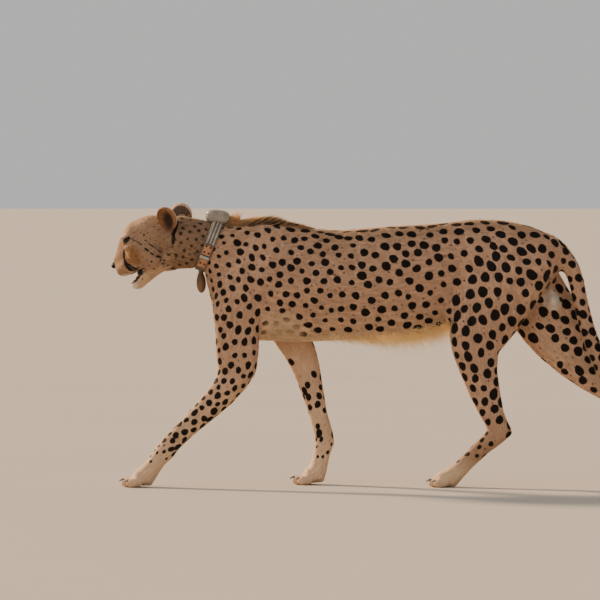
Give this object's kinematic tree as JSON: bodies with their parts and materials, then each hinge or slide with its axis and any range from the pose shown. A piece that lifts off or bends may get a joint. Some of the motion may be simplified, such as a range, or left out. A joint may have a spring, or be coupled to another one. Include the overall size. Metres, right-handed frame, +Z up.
{
  "type": "cheetah",
  "caption": "Life-size adult male cheetah walking with its head low and mouth open, wearing a tracking collar with a pod above the neck and a battery below.",
  "frame": {"origin": "on the floor, under the middle of the bounding box", "axes": "+X towards the tail (the cheetah walks towards -X), +Y towards its right side, +Z up"},
  "size_m": [1.674, 0.216, 0.7925],
  "materials": {
    "coat": "short dense fur, tan with black spots, pale below",
    "ear_coat": "short fur, dark inside with a tan rim",
    "eyeball": "wet amber iris and round black pupil",
    "nose_skin": "bare black skin, pebbled and slightly moist",
    "tongue_skin": "moist pink skin",
    "claw_horn": "dark worn horn",
    "webbing": "worn grey-brown belting",
    "pod_resin": "scuffed resin",
    "leather": "tan leather tab",
    "steel": "brushed"
  },
  "bodies": {
    "root": {"fore_left_upper_arm": "coat", "fore_left_forearm": "coat", "fore_left_paw": "coat", "fore_left_claw_1": "claw_horn", "fore_left_claw_2": "claw_horn", "fore_left_claw_3": "claw_horn", "fore_left_claw_4": "claw_horn", "fore_right_upper_arm": "coat", "fore_right_forearm": "coat", "fore_right_paw": "coat", "fore_right_claw_1": "claw_horn", "fore_right_claw_2": "claw_horn", "fore_right_claw_3": "claw_horn", "fore_right_claw_4": "claw_horn", "hind_left_thigh": "coat", "hind_left_shank": "coat", "hind_left_cannon": "coat", "hind_left_paw": "coat", "hind_left_claw_1": "claw_horn", "hind_left_claw_2": "claw_horn", "hind_left_claw_3": "claw_horn", "hind_left_claw_4": "claw_horn", "hind_right_thigh": "coat", "hind_right_shank": "coat", "hind_right_cannon": "coat", "hind_right_paw": "coat", "hind_right_claw_1": "claw_horn", "hind_right_claw_2": "claw_horn", "hind_right_claw_3": "claw_horn", "hind_right_claw_4": "claw_horn", "head": "coat", "neck": "coat", "chest": "coat", "belly": "coat", "hips": "coat", "lower_jaw": "coat", "tongue": "tongue_skin", "nose_pad": "nose_skin", "eye_left": "eyeball", "eye_right": "eyeball", "ear_left": "ear_coat", "ear_right": "ear_coat", "collar_belt": "webbing", "collar_pod": "pod_resin", "collar_battery": "pod_resin", "collar_plate_upper": "leather", "collar_clasp": "steel", "collar_plate_lower": "leather", "tail_base": "coat", "tail_middle": "coat", "tail_tip": "coat", "scrotum": "coat"}
  },
  "joints": []
}
